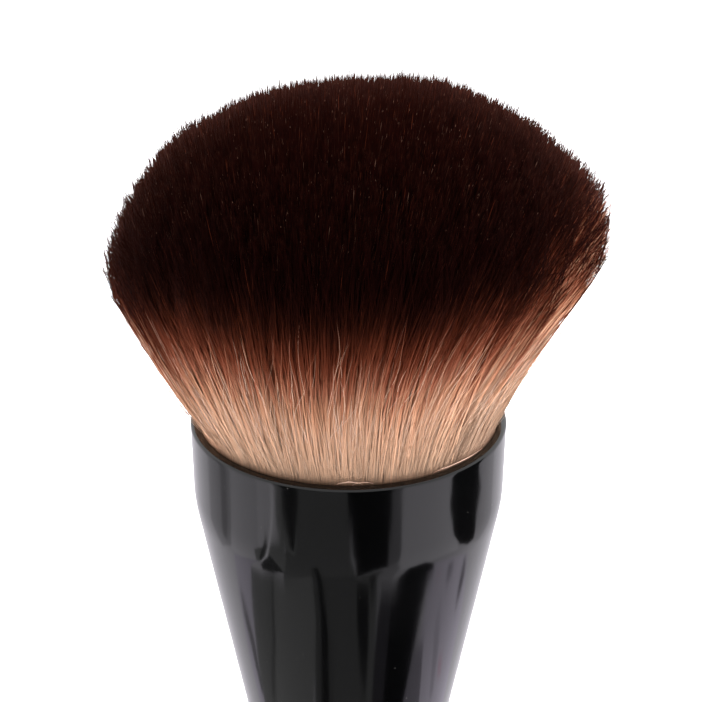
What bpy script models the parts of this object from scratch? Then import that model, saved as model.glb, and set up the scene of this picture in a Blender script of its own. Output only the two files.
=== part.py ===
# Face brush: a flared head of dyed filaments, a drawn ferrule with a hemmed mouth, and a turned handle.
# Metres, +Z up. The brush stands on its butt: the origin is the centre of the flat butt face.

import math
import random

import bmesh
import bpy
from mathutils import Vector

# Clearance between pieces that touch
FIT_GAP = 0.0003

# Ferrule: a straight collar that bends softly into a cone
COLLAR_RADIUS = 0.015
COLLAR_HEIGHT = 0.0079
CONE_ANGLE = math.radians(9.7)
BEND_RADIUS = 0.016
FERRULE_WALL = 0.0006
HEM_FOLD = 0.00035
HEM_DEPTH = 0.0022
LIP_RADIUS = 0.0003
LIP_LIMIT_SHARE = 0.4

# What fills the ferrule, from the rim down
ROOT_DEPTH = 0.006
SLICE_THICKNESS = 0.003
PLUG_LENGTH = 0.0117
PLUG_CHAMFER = 0.0006
CAVITY_LENGTH = 0.003
TENON_LENGTH = 0.017

# Binding thread
THREAD_DIAMETER = 0.0008
THREAD_PITCH = 0.0013
THREAD_TURNS = 2.6
THREAD_TURN_POINTS = 24

# Adhesive sleeve round the tenon, keyed into turned grooves
GLUE_THICKNESS = 0.0006
GLUE_GROOVES = 3
GLUE_GROOVE_DEPTH = 0.0008
GLUE_GROOVE_WIDTH = 0.0022
TENON_CHAMFER = 0.001

# Handle
HANDLE_LENGTH = 0.071
SHOULDER_EASE = 0.00025
WAIST_HEIGHT = 0.038
WAIST_RADIUS = 0.0062
BUTT_RADIUS = 0.0072
BUTT_EDGE_RADIUS = 0.0012

# Head of hair: a straight flare from the mouth to an oval shoulder, closed by a low dome of tips.
# The head leans a little towards +X, where its dome is also the higher, and the dome falls to the back.
HEAD_HALF_WIDTH = 0.02245
HEAD_HALF_DEPTH = 0.0217
HEAD_SHIFT = 0.0007
SHOULDER_HEIGHT = 0.0173
DOME_RISE = 0.0142
DOME_TILT = math.radians(3.0)
DOME_FALL = math.radians(2.0)
DOME_FLATNESS = 2.42
DOME_ROUNDNESS = 0.58

# Strands: one for each triangular cell of a disc that has this many shells
STRAND_SHELLS = 8
STRAND_GAP = 0.0004
STRAND_SWIRL = math.radians(24)
NECK_SHARE = 0.86
NECK_WIDTH_SHARE = 1.75
TIP_SCATTER = 0.0005
ROOT_JITTER = 0.00026
STRAND_SEED = 11

# Facets
TURN_STEPS = 40
ARC_STEPS = 3
HANDLE_STATIONS = 8
SMOOTH_ANGLE = math.radians(35)
MERGE_DISTANCE = 0.000001
MILLIMETRE = 0.001

# Sizes that follow from the ones above
HEM_THICKNESS = FERRULE_WALL + HEM_FOLD
LIP = min(LIP_RADIUS, LIP_LIMIT_SHARE * HEM_THICKNESS)
BEND_START = COLLAR_HEIGHT - BEND_RADIUS * math.tan(CONE_ANGLE / 2)
SLICE_BOTTOM = ROOT_DEPTH + SLICE_THICKNESS
PLUG_TOP = SLICE_BOTTOM + FIT_GAP
PLUG_BOTTOM = PLUG_TOP + PLUG_LENGTH
TENON_TOP = PLUG_BOTTOM + CAVITY_LENGTH
SHOULDER_DEPTH = TENON_TOP + TENON_LENGTH
FERRULE_LENGTH = SHOULDER_DEPTH - FIT_GAP
RIM_HEIGHT = HANDLE_LENGTH + SHOULDER_DEPTH
ROOT_RADIUS = COLLAR_RADIUS - HEM_THICKNESS - FIT_GAP
TENON_CLEARANCE = FIT_GAP + GLUE_THICKNESS + FIT_GAP


def wall_radius(depth, inset=0.0):
    # Radius at a depth under the rim of the surface that lies `inset` inside the ferrule's outer face
    bend = BEND_RADIUS - inset
    past = depth - BEND_START
    bend_length = bend * math.sin(CONE_ANGLE)
    centre = COLLAR_RADIUS - BEND_RADIUS
    if past <= 0:
        return centre + bend
    if past <= bend_length:
        return centre + math.sqrt(bend * bend - past * past)
    return centre + bend * math.cos(CONE_ANGLE) - (past - bend_length) * math.tan(CONE_ANGLE)


def wall_depths(top, bottom, inset):
    # Depths where a line that follows the wall needs a point: its ends and the stations of the bend
    bend = BEND_RADIUS - inset
    stations = [BEND_START + bend * math.sin(CONE_ANGLE * i / ARC_STEPS) for i in range(ARC_STEPS + 1)]
    return [top] + [depth for depth in stations if top < depth < bottom] + [bottom]


def wall_line(top, bottom, inset):
    # Points (radius, height) down the wall, with the rim at height zero
    return [(wall_radius(depth, inset), -depth) for depth in wall_depths(top, bottom, inset)]


def quarter_turn(centre_radius, centre_height, radius, start):
    # Points along an arc of the profile, a quarter turn clockwise from angle `start`
    angles = [start - math.pi / 2 * i / ARC_STEPS for i in range(ARC_STEPS + 1)]
    return [(centre_radius + radius * math.cos(a), centre_height + radius * math.sin(a)) for a in angles]


def blend_radius(share, start_radius, start_slope, end_radius, end_slope, length):
    # Cubic from one radius and slope to another, for share 0 to 1 of the length
    square = share * share
    cube = square * share
    return (
        (2 * cube - 3 * square + 1) * start_radius
        + (cube - 2 * square + share) * start_slope * length
        + (3 * square - 2 * cube) * end_radius
        + (cube - square) * end_slope * length
    )


def make_material(name, colour, roughness, metallic=0.0, coat=0.0):
    material = bpy.data.materials.new(name)
    material.use_nodes = True
    shader = material.node_tree.nodes["Principled BSDF"]
    shader.inputs["Base Color"].default_value = (*colour, 1.0)
    shader.inputs["Roughness"].default_value = roughness
    shader.inputs["Metallic"].default_value = metallic
    shader.inputs["Coat Weight"].default_value = coat
    material.diffuse_color = (*colour, 1.0)
    return material


def add_part(name, data, material, height, parts, base):
    part = bpy.data.objects.new(name, data)
    parts.objects.link(part)
    data.materials.append(material)
    part.location.z = height
    part.parent = base


def turned_mesh(name, outline, closed):
    # A profile turned round Z. An open outline starts and ends on the axis, a closed one makes a ring.
    profile = bpy.data.meshes.new(name + "_profile")
    points = [(radius, 0.0, height) for radius, height in outline]
    edges = [(i, i + 1) for i in range(len(points) - 1)]
    if closed:
        edges.append((len(points) - 1, 0))
    profile.from_pydata(points, edges, [])
    lathe = bpy.data.objects.new(name + "_lathe", profile)
    bpy.context.scene.collection.objects.link(lathe)
    screw = lathe.modifiers.new("Screw", "SCREW")
    screw.axis = "Z"
    screw.angle = 2 * math.pi
    screw.steps = TURN_STEPS
    screw.render_steps = TURN_STEPS
    screw.use_merge_vertices = not closed
    screw.merge_threshold = MERGE_DISTANCE
    bpy.context.view_layer.update()
    mesh = bpy.data.meshes.new_from_object(lathe.evaluated_get(bpy.context.evaluated_depsgraph_get()))
    mesh.name = name
    bpy.data.objects.remove(lathe)
    bpy.data.meshes.remove(profile)
    mesh.shade_smooth()
    mesh.set_sharp_from_angle(angle=SMOOTH_ANGLE)
    return mesh


def ferrule_outline():
    # Down the outside from the lip, back up the inside, and over the folded mouth
    outer = quarter_turn(COLLAR_RADIUS - LIP, -LIP, LIP, math.pi / 2)
    outer += wall_line(LIP, FERRULE_LENGTH, 0.0)[1:]
    inner = wall_line(HEM_DEPTH + HEM_FOLD, FERRULE_LENGTH, FERRULE_WALL)[::-1]
    mouth = COLLAR_RADIUS - HEM_THICKNESS
    hem = [(mouth, -HEM_DEPTH)]
    hem += quarter_turn(mouth + LIP, -LIP, LIP, math.pi)
    return outer + inner + hem


def plug_outline():
    # Resin potting shaped by the ferrule's inside, with a groove for the thread
    inset = FERRULE_WALL + FIT_GAP
    groove_top, groove_bottom = groove_depths()
    floor = thread_radius() - THREAD_DIAMETER / 2 - FIT_GAP
    outline = [(0.0, -PLUG_TOP), (wall_radius(PLUG_TOP, inset) - PLUG_CHAMFER, -PLUG_TOP)]
    outline += wall_line(PLUG_TOP + PLUG_CHAMFER, groove_top, inset)
    outline += [(floor, -groove_top), (floor, -groove_bottom)]
    outline += wall_line(groove_bottom, PLUG_BOTTOM - PLUG_CHAMFER, inset)
    outline += [(wall_radius(PLUG_BOTTOM, inset) - PLUG_CHAMFER, -PLUG_BOTTOM), (0.0, -PLUG_BOTTOM)]
    return outline


def groove_depths():
    # The thread's groove lies at the middle of the potting
    middle = (PLUG_TOP + PLUG_BOTTOM) / 2
    half = (THREAD_TURNS * THREAD_PITCH + THREAD_DIAMETER) / 2 + FIT_GAP
    return middle - half, middle + half


def thread_radius():
    # Centre line of the thread: as wide as the narrow end of its groove lets it be
    bottom = groove_depths()[1]
    return wall_radius(bottom, FERRULE_WALL + FIT_GAP) - THREAD_DIAMETER / 2


def thread_points():
    # One helix, whose two ends run straight on for one thread diameter
    radius = thread_radius()
    start = -groove_depths()[0] - FIT_GAP - THREAD_DIAMETER / 2
    count = round(THREAD_TURNS * THREAD_TURN_POINTS)
    points = []
    for i in range(count + 1):
        turn = 2 * math.pi * i / THREAD_TURN_POINTS
        height = start - THREAD_PITCH * i / THREAD_TURN_POINTS
        points.append(Vector((radius * math.cos(turn), radius * math.sin(turn), height)))
    first = points[0] + (points[0] - points[1]).normalized() * THREAD_DIAMETER
    last = points[-1] + (points[-1] - points[-2]).normalized() * THREAD_DIAMETER
    for end in (first, last):
        end.z = min(max(end.z, points[-1].z), points[0].z)
    return [first] + points + [last]


def thread_curve(points):
    curve = bpy.data.curves.new("binding_thread", "CURVE")
    curve.dimensions = "3D"
    curve.bevel_depth = THREAD_DIAMETER / 2
    curve.bevel_resolution = 1
    curve.use_fill_caps = True
    spline = curve.splines.new("POLY")
    spline.points.add(len(points) - 1)
    for slot, point in zip(spline.points, points):
        slot.co = (*point, 1.0)
    return curve


def print_thread_gap(points):
    # Least free gap between stretches of the thread that lie at least half a turn apart
    apart = THREAD_TURN_POINTS // 2
    least = math.inf
    for i, point in enumerate(points):
        for other in points[i + apart:]:
            least = min(least, (point - other).length - THREAD_DIAMETER)
    print("binding_thread least gap to itself, mm:", round(least / MILLIMETRE, 3))


def tenon_radius():
    # A straight tenon, because it goes in through the ferrule's narrow end
    return wall_radius(FERRULE_LENGTH, FERRULE_WALL) - TENON_CLEARANCE


def groove_tops():
    # Depths of the upper edges of the tenon's glue grooves, evenly spaced along it
    room = (TENON_LENGTH - GLUE_GROOVES * GLUE_GROOVE_WIDTH) / (GLUE_GROOVES + 1)
    return [TENON_TOP + room + i * (room + GLUE_GROOVE_WIDTH) for i in range(GLUE_GROOVES)]


def tenon_line(bottom, top, clearance):
    # Down the tenon and its grooves, `clearance` outside the wood
    radius = tenon_radius() + clearance
    floor = radius - GLUE_GROOVE_DEPTH
    line = [(radius, -top)]
    for edge in groove_tops():
        upper = -edge - clearance
        lower = clearance - edge - GLUE_GROOVE_WIDTH
        line += [(radius, upper), (floor, upper), (floor, lower), (radius, lower)]
    line.append((radius, -bottom))
    return line


def glue_outline():
    # Adhesive between the cone and the straight tenon, so it thickens upward and locks both.
    # Its ribs fill the tenon's grooves.
    top = TENON_TOP + TENON_CHAMFER + FIT_GAP
    bottom = SHOULDER_DEPTH - FIT_GAP
    outer = wall_line(top, bottom, FERRULE_WALL + FIT_GAP)
    return outer + tenon_line(bottom, top, FIT_GAP)[::-1]


def handle_outline():
    # Tenon, shoulder under the ferrule, waist, and a flat butt with a rounded edge
    tenon_end = tenon_radius() - TENON_CHAMFER
    tenon = [(0.0, RIM_HEIGHT - TENON_TOP), (tenon_end, RIM_HEIGHT - TENON_TOP)]
    for radius, height in tenon_line(SHOULDER_DEPTH, TENON_TOP + TENON_CHAMFER, 0.0):
        tenon.append((radius, RIM_HEIGHT + height))
    joint_radius = wall_radius(SHOULDER_DEPTH)
    tenon.append((joint_radius - SHOULDER_EASE, HANDLE_LENGTH))
    joint_height = HANDLE_LENGTH - SHOULDER_EASE
    grip = []
    slope = -math.tan(CONE_ANGLE)
    drop = joint_height - WAIST_HEIGHT
    for i in range(HANDLE_STATIONS):
        share = i / HANDLE_STATIONS
        radius = blend_radius(share, joint_radius, slope, WAIST_RADIUS, 0.0, drop)
        grip.append((radius, joint_height - share * drop))
    drop = WAIST_HEIGHT - BUTT_EDGE_RADIUS
    for i in range(HANDLE_STATIONS):
        share = i / HANDLE_STATIONS
        radius = blend_radius(share, WAIST_RADIUS, 0.0, BUTT_RADIUS, 0.0, drop)
        grip.append((radius, WAIST_HEIGHT - share * drop))
    edge = quarter_turn(BUTT_RADIUS - BUTT_EDGE_RADIUS, BUTT_EDGE_RADIUS, BUTT_EDGE_RADIUS, 0.0)
    return tenon + grip + edge + [(0.0, 0.0)]


def disc_place(corner):
    # Moves a point of a unit hexagon with a corner on +Y to the unit disc: its hexagonal shells become
    # circles, each turned a little further than the one inside it, so that no seam runs straight out
    sixth = math.pi / 3
    middle = round(math.atan2(corner.y, corner.x) / sixth) * sixth
    across = corner.x * math.cos(middle) + corner.y * math.sin(middle)
    if across <= 0:
        return Vector((0.0, 0.0))
    along = corner.y * math.cos(middle) - corner.x * math.sin(middle)
    shell = across / math.cos(sixth / 2)
    turn = middle + along / shell * sixth + STRAND_SWIRL * shell
    return Vector((shell * math.cos(turn), shell * math.sin(turn)))


def tip_place(root):
    # Where the strand that leaves the mouth at `root` has its tip. The middles of the outermost cells lie
    # a third of a shell inside the edge, and their tips form the shoulder.
    spread = root.xy / ROOT_RADIUS * STRAND_SHELLS / (STRAND_SHELLS - 1 / 3)
    x = HEAD_HALF_WIDTH * spread.x + HEAD_SHIFT
    y = HEAD_HALF_DEPTH * spread.y
    rise = DOME_RISE * (1.0 - min(spread.length, 1.0) ** DOME_FLATNESS) ** DOME_ROUNDNESS
    return Vector((x, y, SHOULDER_HEIGHT + rise + math.tan(DOME_TILT) * x - math.tan(DOME_FALL) * y))


def resin_slice():
    # A disc of resin, its top cut into triangular cells, each with the foot of a strand inset in it
    dice = random.Random(STRAND_SEED)
    bm = bmesh.new()
    bmesh.ops.create_circle(bm, cap_ends=True, cap_tris=True, segments=6, radius=1.0)
    bmesh.ops.subdivide_edges(bm, edges=bm.edges[:], cuts=STRAND_SHELLS - 1, use_grid_fill=True)
    for vert in bm.verts:
        place = disc_place(vert.co)
        vert.co = Vector((place.x * ROOT_RADIUS, place.y * ROOT_RADIUS, -ROOT_DEPTH))
        if not vert.is_boundary:
            turn = dice.uniform(0.0, 2 * math.pi)
            vert.co += dice.uniform(0.0, ROOT_JITTER) * Vector((math.cos(turn), math.sin(turn), 0.0))
    cells = bm.faces[:]
    skirt = bmesh.ops.extrude_edge_only(bm, edges=[edge for edge in bm.edges if edge.is_boundary])
    for vert in skirt["geom"]:
        if isinstance(vert, bmesh.types.BMVert):
            vert.co.z -= SLICE_THICKNESS
    bmesh.ops.edgeloop_fill(bm, edges=[edge for edge in bm.edges if edge.is_boundary])
    bmesh.ops.inset_individual(bm, faces=cells, thickness=STRAND_GAP / 2, use_even_offset=True)
    return bm, cells


def hair_mesh():
    # One three-sided strand grows from each cell of the resin: straight up to the mouth, then leaning
    # outward and widening to its neck, and pointed at the tip.
    bm, feet = resin_slice()
    mouths = bmesh.ops.extrude_discrete_faces(bm, faces=feet)["faces"]
    for mouth in mouths:
        for vert in mouth.verts:
            vert.co.z = 0.0

    dice = random.Random(STRAND_SEED)
    for neck in bmesh.ops.extrude_discrete_faces(bm, faces=mouths)["faces"]:
        root = neck.calc_center_median()
        middle = root.lerp(tip_place(root), NECK_SHARE)
        for vert in neck.verts:
            vert.co = middle + (vert.co - root) * NECK_WIDTH_SHARE
        tip = bmesh.ops.poke(bm, faces=[neck])["verts"][0]
        tip.co = tip_place(root) + Vector((0.0, 0.0, dice.uniform(-TIP_SCATTER, TIP_SCATTER)))

    bmesh.ops.recalc_face_normals(bm, faces=bm.faces[:])
    mesh = bpy.data.meshes.new("hair_bundle")
    bm.to_mesh(mesh)
    bm.free()
    return mesh


def build():
    for old in list(bpy.data.objects):
        bpy.data.objects.remove(old)
    parts = bpy.data.collections.new("face_brush")
    bpy.context.scene.collection.children.link(parts)
    base = bpy.data.objects.new("brush_base", None)
    parts.objects.link(base)

    filament = make_material("filament", (0.16, 0.07, 0.04), 0.55)
    resin = make_material("resin", (0.55, 0.42, 0.28), 0.35)
    thread = make_material("thread", (0.72, 0.66, 0.56), 0.8)
    black_metal = make_material("black_metal", (0.008, 0.008, 0.009), 0.08, coat=1.0)
    black_wood = make_material("black_wood", (0.008, 0.008, 0.009), 0.12, coat=1.0)
    adhesive = make_material("adhesive", (0.62, 0.55, 0.40), 0.4)

    add_part("hair_bundle", hair_mesh(), filament, RIM_HEIGHT, parts, base)
    add_part("ferrule", turned_mesh("ferrule", ferrule_outline(), True), black_metal, RIM_HEIGHT, parts, base)
    add_part("root_plug", turned_mesh("root_plug", plug_outline(), False), resin, RIM_HEIGHT, parts, base)
    add_part("tenon_glue", turned_mesh("tenon_glue", glue_outline(), True), adhesive, RIM_HEIGHT, parts, base)
    add_part("handle", turned_mesh("handle", handle_outline(), False), black_wood, 0.0, parts, base)

    points = thread_points()
    print_thread_gap(points)
    add_part("binding_thread", thread_curve(points), thread, RIM_HEIGHT, parts, base)


build()
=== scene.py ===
# Face brush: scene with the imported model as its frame.
# Metres, +Z up, the brush stands on its butt at the origin and the camera looks from -Y.

import math

import bmesh
import bpy
import numpy as np
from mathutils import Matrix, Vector
from mathutils.kdtree import KDTree


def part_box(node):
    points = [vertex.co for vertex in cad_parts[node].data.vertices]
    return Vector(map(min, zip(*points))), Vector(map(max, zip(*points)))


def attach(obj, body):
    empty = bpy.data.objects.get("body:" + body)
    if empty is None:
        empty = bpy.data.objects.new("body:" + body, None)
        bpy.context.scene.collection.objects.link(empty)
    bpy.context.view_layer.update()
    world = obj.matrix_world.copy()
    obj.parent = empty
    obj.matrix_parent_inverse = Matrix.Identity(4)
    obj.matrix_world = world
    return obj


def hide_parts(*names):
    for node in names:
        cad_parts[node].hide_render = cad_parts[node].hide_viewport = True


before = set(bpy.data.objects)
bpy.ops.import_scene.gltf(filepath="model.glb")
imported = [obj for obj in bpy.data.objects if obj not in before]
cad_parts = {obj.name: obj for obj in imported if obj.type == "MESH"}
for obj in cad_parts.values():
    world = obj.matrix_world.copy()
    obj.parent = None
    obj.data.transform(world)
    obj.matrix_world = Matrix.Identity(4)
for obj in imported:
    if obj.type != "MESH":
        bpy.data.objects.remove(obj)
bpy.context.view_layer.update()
print("frame loaded:", sorted(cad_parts))

mm = 0.001
smoothAngle = 40
mergeDistance = 1e-6             # metres
nearEnough = 1e-5
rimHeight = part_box("ferrule")[1].z
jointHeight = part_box("ferrule")[0].z


def deselectAll():
    if bpy.context.object and bpy.context.object.mode != "OBJECT":
        bpy.ops.object.mode_set(mode="OBJECT")
    bpy.ops.object.select_all(action="DESELECT")


def activePiece(name):
    piece = bpy.context.active_object
    piece.name = name
    piece.data.name = name
    return piece


def finishPiece(piece, slot, *nodes):
    # applies the place, hands the piece to the body and lets it stand for its CAD nodes
    deselectAll()
    piece.select_set(True)
    bpy.context.view_layer.objects.active = piece
    bpy.ops.object.transform_apply(location=True, rotation=True, scale=True)
    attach(piece, "root")
    if nodes:
        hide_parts(*nodes)


def turnedPiece(name, outline, sides, ring=True):
    # a circle that is extruded and scaled from station to station, as on a lathe.
    # outline holds (radius, height) in millimetres; a ring closes on its first station.
    deselectAll()
    radius, height = outline[0]
    bpy.ops.mesh.primitive_circle_add(vertices=sides, radius=radius * mm, location=(0, 0, height * mm),
                                      fill_type="NOTHING" if ring else "NGON")
    piece = activePiece(name)
    bpy.ops.object.transform_apply(location=True, rotation=True, scale=True)
    bpy.ops.object.mode_set(mode="EDIT")
    bpy.ops.mesh.select_mode(type="VERT")
    bpy.ops.mesh.select_all(action="SELECT")
    for nextRadius, nextHeight in outline[1:]:
        move = {"value": (0, 0, (nextHeight - height) * mm)}
        bpy.ops.mesh.extrude_region_move(TRANSFORM_OT_translate=move)
        grow = nextRadius / radius
        bpy.ops.transform.resize(value=(grow, grow, 1), center_override=(0, 0, nextHeight * mm))
        radius, height = nextRadius, nextHeight
    if ring:
        bpy.ops.mesh.select_all(action="SELECT")
        bpy.ops.mesh.remove_doubles(threshold=mergeDistance)
    bpy.ops.mesh.select_all(action="SELECT")
    bpy.ops.mesh.normals_make_consistent(inside=False)
    bpy.ops.object.mode_set(mode="OBJECT")
    bpy.ops.object.shade_smooth_by_angle(angle=math.radians(smoothAngle))
    return piece


def arc(centreRadius, centreHeight, radius, start, end, steps):
    # stations along an arc of the outline, in degrees
    angles = [math.radians(start + (end - start) * i / steps) for i in range(steps + 1)]
    return [(centreRadius + radius * math.cos(a), centreHeight + radius * math.sin(a)) for a in angles]


def newMaterial(name):
    material = bpy.data.materials.new(name)
    material.use_nodes = True
    nodes = material.node_tree.nodes
    return material, nodes, nodes["Principled BSDF"]


def setInputs(node, values):
    for name, value in values.items():
        node.inputs[name].default_value = value


def addNode(nodes, kind, values=None, **modes):
    # the modes come first, because they change which inputs a node has
    node = nodes.new("ShaderNode" + kind)
    for name, value in modes.items():
        setattr(node, name, value)
    setInputs(node, values or {})
    return node


def join(source, output, target, socket):
    source.id_data.links.new(source.outputs[output], target.inputs[socket])


def rampOf(nodes, stops):
    ramp = nodes.new("ShaderNodeValToRGB")
    elements = ramp.color_ramp.elements
    while len(elements) < len(stops):
        elements.new(0.5)
    for element, (place, colour) in zip(elements, stops):
        element.position = place
        element.color = (*colour, 1)
    return ramp


lacquerDetail = {
    "specks": {"Detail": 2},
    "dust": {"From Min": 0.75, "From Max": 0.84},
    "smears": {"Detail": 5, "Roughness": 0.6},
    "smooth": {"From Min": 0.35, "From Max": 0.75, "To Min": 0.08, "To Max": 0.15},
    "dustRoughness": 0.4,        # what dust adds to the lacquer's roughness
    "waves": {"Scale": 160, "Detail": 3},
    "ior": 1.5,
}


def buildLacquerWear():
    # dust, faint smears and the slow waves of a sprayed surface; puts out a mask, a roughness and a height
    tree = bpy.data.node_groups.new("lacquerWear", "ShaderNodeTree")
    face = tree.interface
    face.new_socket("Vector", in_out="INPUT", socket_type="NodeSocketVector")
    for name in ("Speck Size", "Smear Size"):
        face.new_socket(name, in_out="INPUT", socket_type="NodeSocketFloat")
    for name in ("Dust", "Roughness", "Height"):
        face.new_socket(name, in_out="OUTPUT", socket_type="NodeSocketFloat")
    nodes = tree.nodes
    inside, outside = nodes.new("NodeGroupInput"), nodes.new("NodeGroupOutput")
    specks = addNode(nodes, "TexNoise", lacquerDetail["specks"])
    join(inside, "Speck Size", specks, "Scale")
    dust = addNode(nodes, "MapRange", lacquerDetail["dust"])
    join(specks, "Fac", dust, "Value")
    smears = addNode(nodes, "TexNoise", lacquerDetail["smears"])
    join(inside, "Smear Size", smears, "Scale")
    smooth = addNode(nodes, "MapRange", lacquerDetail["smooth"])
    join(smears, "Fac", smooth, "Value")
    rough = addNode(nodes, "Math", {1: lacquerDetail["dustRoughness"]}, operation="MULTIPLY_ADD")
    join(dust, "Result", rough, 0)
    join(smooth, "Result", rough, 2)
    waves = addNode(nodes, "TexNoise", lacquerDetail["waves"])
    for noise in (specks, smears, waves):
        join(inside, "Vector", noise, "Vector")
    join(dust, "Result", outside, "Dust")
    join(rough, "Value", outside, "Roughness")
    join(waves, "Fac", outside, "Height")
    return tree


lacquerWear = buildLacquerWear()


def lacquerMaterial(name, look):
    material, nodes, shader = newMaterial(name)
    wear = addNode(nodes, "Group", node_tree=lacquerWear)
    setInputs(wear, {"Speck Size": look["speckScale"], "Smear Size": look["smearScale"]})
    join(addNode(nodes, "TexCoord"), "Object", wear, "Vector")
    colours = {"A": (*look["colour"], 1), "B": (*look["dustColour"], 1)}
    colour = addNode(nodes, "Mix", colours, data_type="RGBA")
    join(wear, "Dust", colour, "Factor")
    join(colour, "Result", shader, "Base Color")
    join(wear, "Roughness", shader, "Roughness")
    bump = addNode(nodes, "Bump", {"Strength": look["waveStrength"], "Distance": look["waveDepth"] * mm})
    join(wear, "Height", bump, "Height")
    join(bump, "Normal", shader, "Normal")
    shader.inputs["IOR"].default_value = lacquerDetail["ior"]
    return material


ferrule = {
    "collarRadius": 15.0,
    "collarHeight": 7.9,
    "coneAngle": 9.7,
    "bendRadius": 16.0,
    "wall": 0.6,
    "hem": 0.95,          # the folded mouth, wall and fold together
    "hemDepth": 2.2,
    "lip": 0.3,
    "lipSteps": 5,
    "mouthDepth": 1.2,
    "overJoint": (0, 8, 16),     # stations of the cone, over the joint and then under the rim
    "underRim": (16, 12),
    "bendStations": (5.2, 0.4, 14),      # first depth, step and count
    "collarStations": (4, 2, 1, 0.5),
    "insideStations": (4, 5.2, 6.4, 7.6, 8.4, 10, 16),
    "sides": 192,
    "material": {
        "colour": (0.0004, 0.0004, 0.0005),
        "dustColour": (0.06, 0.055, 0.05),
        "speckScale": 2600,
        "smearScale": 120,
        "waveStrength": 0.25,
        "waveDepth": 0.02,
    },
}


def wallRadius(depth, inset=0.0):
    # the ferrule's radius at a depth under the rim, in millimetres
    angle = math.radians(ferrule["coneAngle"])
    bend = ferrule["bendRadius"] - inset
    start = ferrule["collarHeight"] - ferrule["bendRadius"] * math.tan(angle / 2)
    past = depth - start
    centre = ferrule["collarRadius"] - ferrule["bendRadius"]
    if past <= 0:
        return centre + bend
    if past <= bend * math.sin(angle):
        return centre + math.sqrt(bend * bend - past * past)
    return centre + bend * math.cos(angle) - (past - bend * math.sin(angle)) * math.tan(angle)


def ferruleOutline():
    rim = rimHeight / mm
    bottom = rim - jointHeight / mm
    radius, wall, lip = ferrule["collarRadius"], ferrule["wall"], ferrule["lip"]
    mouth = radius - ferrule["hem"]
    depths = [bottom - height for height in ferrule["overJoint"]] + list(ferrule["underRim"])
    first, step, count = ferrule["bendStations"]
    depths += [first + step * i for i in range(count)][::-1]
    depths += ferrule["collarStations"]
    outline = [(wallRadius(depth), rim - depth) for depth in depths]
    outline += arc(radius - lip, rim - lip, lip, 0, 90, ferrule["lipSteps"])
    outline += arc(mouth + lip, rim - lip, lip, 90, 180, ferrule["lipSteps"])
    outline += [(mouth, rim - ferrule["mouthDepth"]), (mouth, rim - ferrule["hemDepth"])]
    hemEnd = ferrule["hemDepth"] + ferrule["hem"] - wall
    depths = [hemEnd, *ferrule["insideStations"], bottom]
    outline += [(wallRadius(depth, wall), rim - depth) for depth in depths]
    outline.append(outline[0])
    return outline


ferrulePiece = turnedPiece("ferruleShell", ferruleOutline(), ferrule["sides"])
ferrulePiece.data.materials.append(lacquerMaterial("blackLacquerOnMetal", ferrule["material"]))
finishPiece(ferrulePiece, "black_lacquered_metal", "ferrule")
print("ferrule turned:", len(ferrulePiece.data.polygons), "faces")


handle = {
    "tenonRadius": 6.97,
    "tenonTop": 88.0,
    "grooves": 3,
    "grooveDepth": 0.8,
    "grooveWidth": 2.2,
    "waistHeight": 38.0,
    "waistRadius": 6.2,
    "buttRadius": 7.2,
    "buttEdge": 1.2,
    "edgeSteps": 6,
    "shoulderHeight": 71.0,
    "shoulderEase": 0.25,        # the shoulder's rounded edge, and its middle point
    "easeMiddle": (0.08, 0.07),
    "tenonChamfer": 1.0,
    "stations": 16,
    "sides": 128,
    "material": {
        "colour": (0.0004, 0.0004, 0.0005),
        "dustColour": (0.06, 0.055, 0.05),
        "speckScale": 2600,
        "smearScale": 80,
        "waveStrength": 0.3,
        "waveDepth": 0.03,
    },
}


def blended(share, start, startSlope, end, endSlope, length):
    # a radius on the smooth curve that leaves and arrives at the given slopes
    square, cube = share ** 2, share ** 3
    return ((2 * cube - 3 * square + 1) * start + (cube - 2 * square + share) * startSlope * length
            + (3 * square - 2 * cube) * end + (cube - square) * endSlope * length)


def handleOutline():
    edge, butt, waist = handle["buttEdge"], handle["buttRadius"], handle["waistRadius"]
    shoulder, ease = handle["shoulderHeight"], handle["shoulderEase"]
    tenon, top, chamfer = handle["tenonRadius"], handle["tenonTop"], handle["tenonChamfer"]
    joint = wallRadius(rimHeight / mm - shoulder)
    outline = [(butt - edge, 0.0)] + arc(butt - edge, edge, edge, -90, 0, handle["edgeSteps"])[1:]
    shares = [i / handle["stations"] for i in range(1, handle["stations"] + 1)]
    drop = handle["waistHeight"] - edge
    outline += [(blended(share, butt, 0, waist, 0, drop), edge + drop * share) for share in shares]
    drop = shoulder - ease - handle["waistHeight"]
    slope = math.tan(math.radians(ferrule["coneAngle"]))
    outline += [(blended(share, waist, 0, joint, slope, drop), handle["waistHeight"] + drop * share)
                for share in shares]
    inward, down = handle["easeMiddle"]
    outline += [(joint - inward, shoulder - down), (joint - ease, shoulder), (tenon, shoulder)]
    room = (top - shoulder - handle["grooves"] * handle["grooveWidth"]) / (handle["grooves"] + 1)
    for i in range(handle["grooves"]):
        low = shoulder + room + i * (room + handle["grooveWidth"])
        floor = tenon - handle["grooveDepth"]
        high = low + handle["grooveWidth"]
        outline += [(tenon, low), (floor, low), (floor, high), (tenon, high)]
    outline += [(tenon, top - chamfer), (tenon - chamfer, top)]
    return outline


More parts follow.
